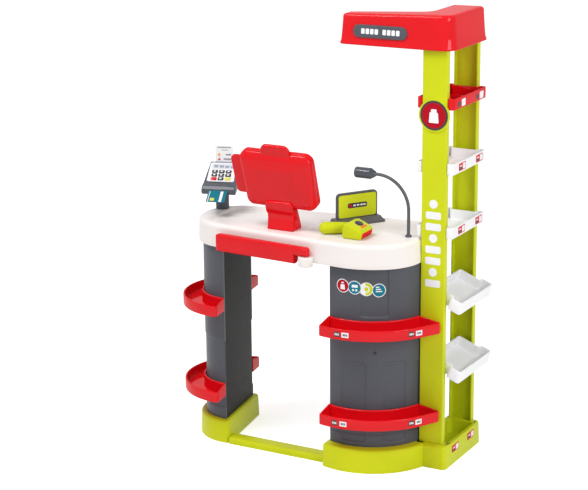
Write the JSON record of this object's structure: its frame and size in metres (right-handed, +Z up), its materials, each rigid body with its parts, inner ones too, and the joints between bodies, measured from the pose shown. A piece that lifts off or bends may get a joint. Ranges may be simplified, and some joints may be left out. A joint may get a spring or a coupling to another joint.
{
  "type": "toy market stall",
  "caption": "Children's play market stall: round-ended counter on curved shelved cabinets, till fittings, swing gate and a tall side rack under a canopy.",
  "frame": {"origin": "on the floor, under the middle of the whole stall's box", "axes": "+X along the counter towards the rack, -Y to the customer's side, +Z up"},
  "size_m": [0.848, 0.408, 1.24],
  "materials": {
    "lime_plastic": "smooth moulded plastic, soft sheen",
    "red_plastic": "smooth moulded plastic, soft sheen",
    "white_plastic": "smooth moulded plastic, soft sheen",
    "grey_plastic": "fine-grained moulded plastic",
    "dark_plastic": "fine-grained moulded plastic",
    "display_plastic": "smooth dark plastic with a printed face",
    "key_plastic": "printed pad with moulded keys",
    "card_plastic": "smooth thin sheet",
    "paper": "printed paper",
    "steel": "plain turned steel"
  },
  "bodies": {
    "stall": {"right_base": "lime_plastic", "left_foot": "lime_plastic", "floor_bar": "lime_plastic", "rack_front_panel": "lime_plastic", "rack_rear_panel": "lime_plastic", "right_shelf_upper": "red_plastic", "right_shelf_lower": "red_plastic", "left_shelf_upper": "red_plastic", "left_shelf_lower": "red_plastic", "badge": "red_plastic", "rack_shelf_top": "red_plastic", "canopy": "red_plastic", "monitor_stand": "red_plastic", "monitor_casing": "red_plastic", "monitor_bezel": "red_plastic", "counter_top": "white_plastic", "rack_shelf_middle": "white_plastic", "rack_shelf_low": "white_plastic", "bin_upper": "white_plastic", "bin_lower": "white_plastic", "right_cabinet": "grey_plastic", "left_cabinet": "grey_plastic", "reader_post": "grey_plastic", "reader_body": "grey_plastic", "mic_collar": "grey_plastic", "right_cabinet_back": "dark_plastic", "left_cabinet_back": "dark_plastic", "sign_plate": "dark_plastic", "display_base": "dark_plastic", "display_panel": "display_plastic", "monitor_screen": "display_plastic", "reader_keys": "key_plastic", "receipt": "paper", "gate_pin": "steel", "cabinet_screws": "steel"},
    "gate": {"gate_arm": "red_plastic"},
    "card": {"bank_card": "card_plastic"},
    "scanner": {"scanner_body": "lime_plastic", "scanner_window": "red_plastic"},
    "scan_button": {"scanner_button": "grey_plastic"},
    "microphone": {"mic_stem": "grey_plastic", "mic_head": "dark_plastic"}
  },
  "joints": [
    {"name": "gate_swing", "type": "hinge", "parent": "stall", "child": "gate", "pos_m": [0.034, -0.17382, 0.595], "axis": [0, 0, 1], "range_deg": [0, 95]},
    {"name": "card_slide", "type": "slide", "parent": "stall", "child": "card", "axis": [0.2676, -0.8236, -0.5], "range_m": [-0.0015, 0.02]},
    {"name": "scanner_lift", "type": "slide", "parent": "stall", "child": "scanner", "axis": [0.4472, 0, 0.8944], "range_m": [0, 0.12]},
    {"name": "button_press", "type": "slide", "parent": "scanner", "child": "scan_button", "axis": [-0.4036, 0, -0.9149], "range_m": [0, 0.002], "stiffness_N_per_m": 300, "springref_m": -0.002},
    {"name": "mic_swivel", "type": "hinge", "parent": "stall", "child": "microphone", "pos_m": [0.263, -0.017, 0.66], "axis": [0, 0, 1], "range_deg": [-60, 60]}
  ]
}
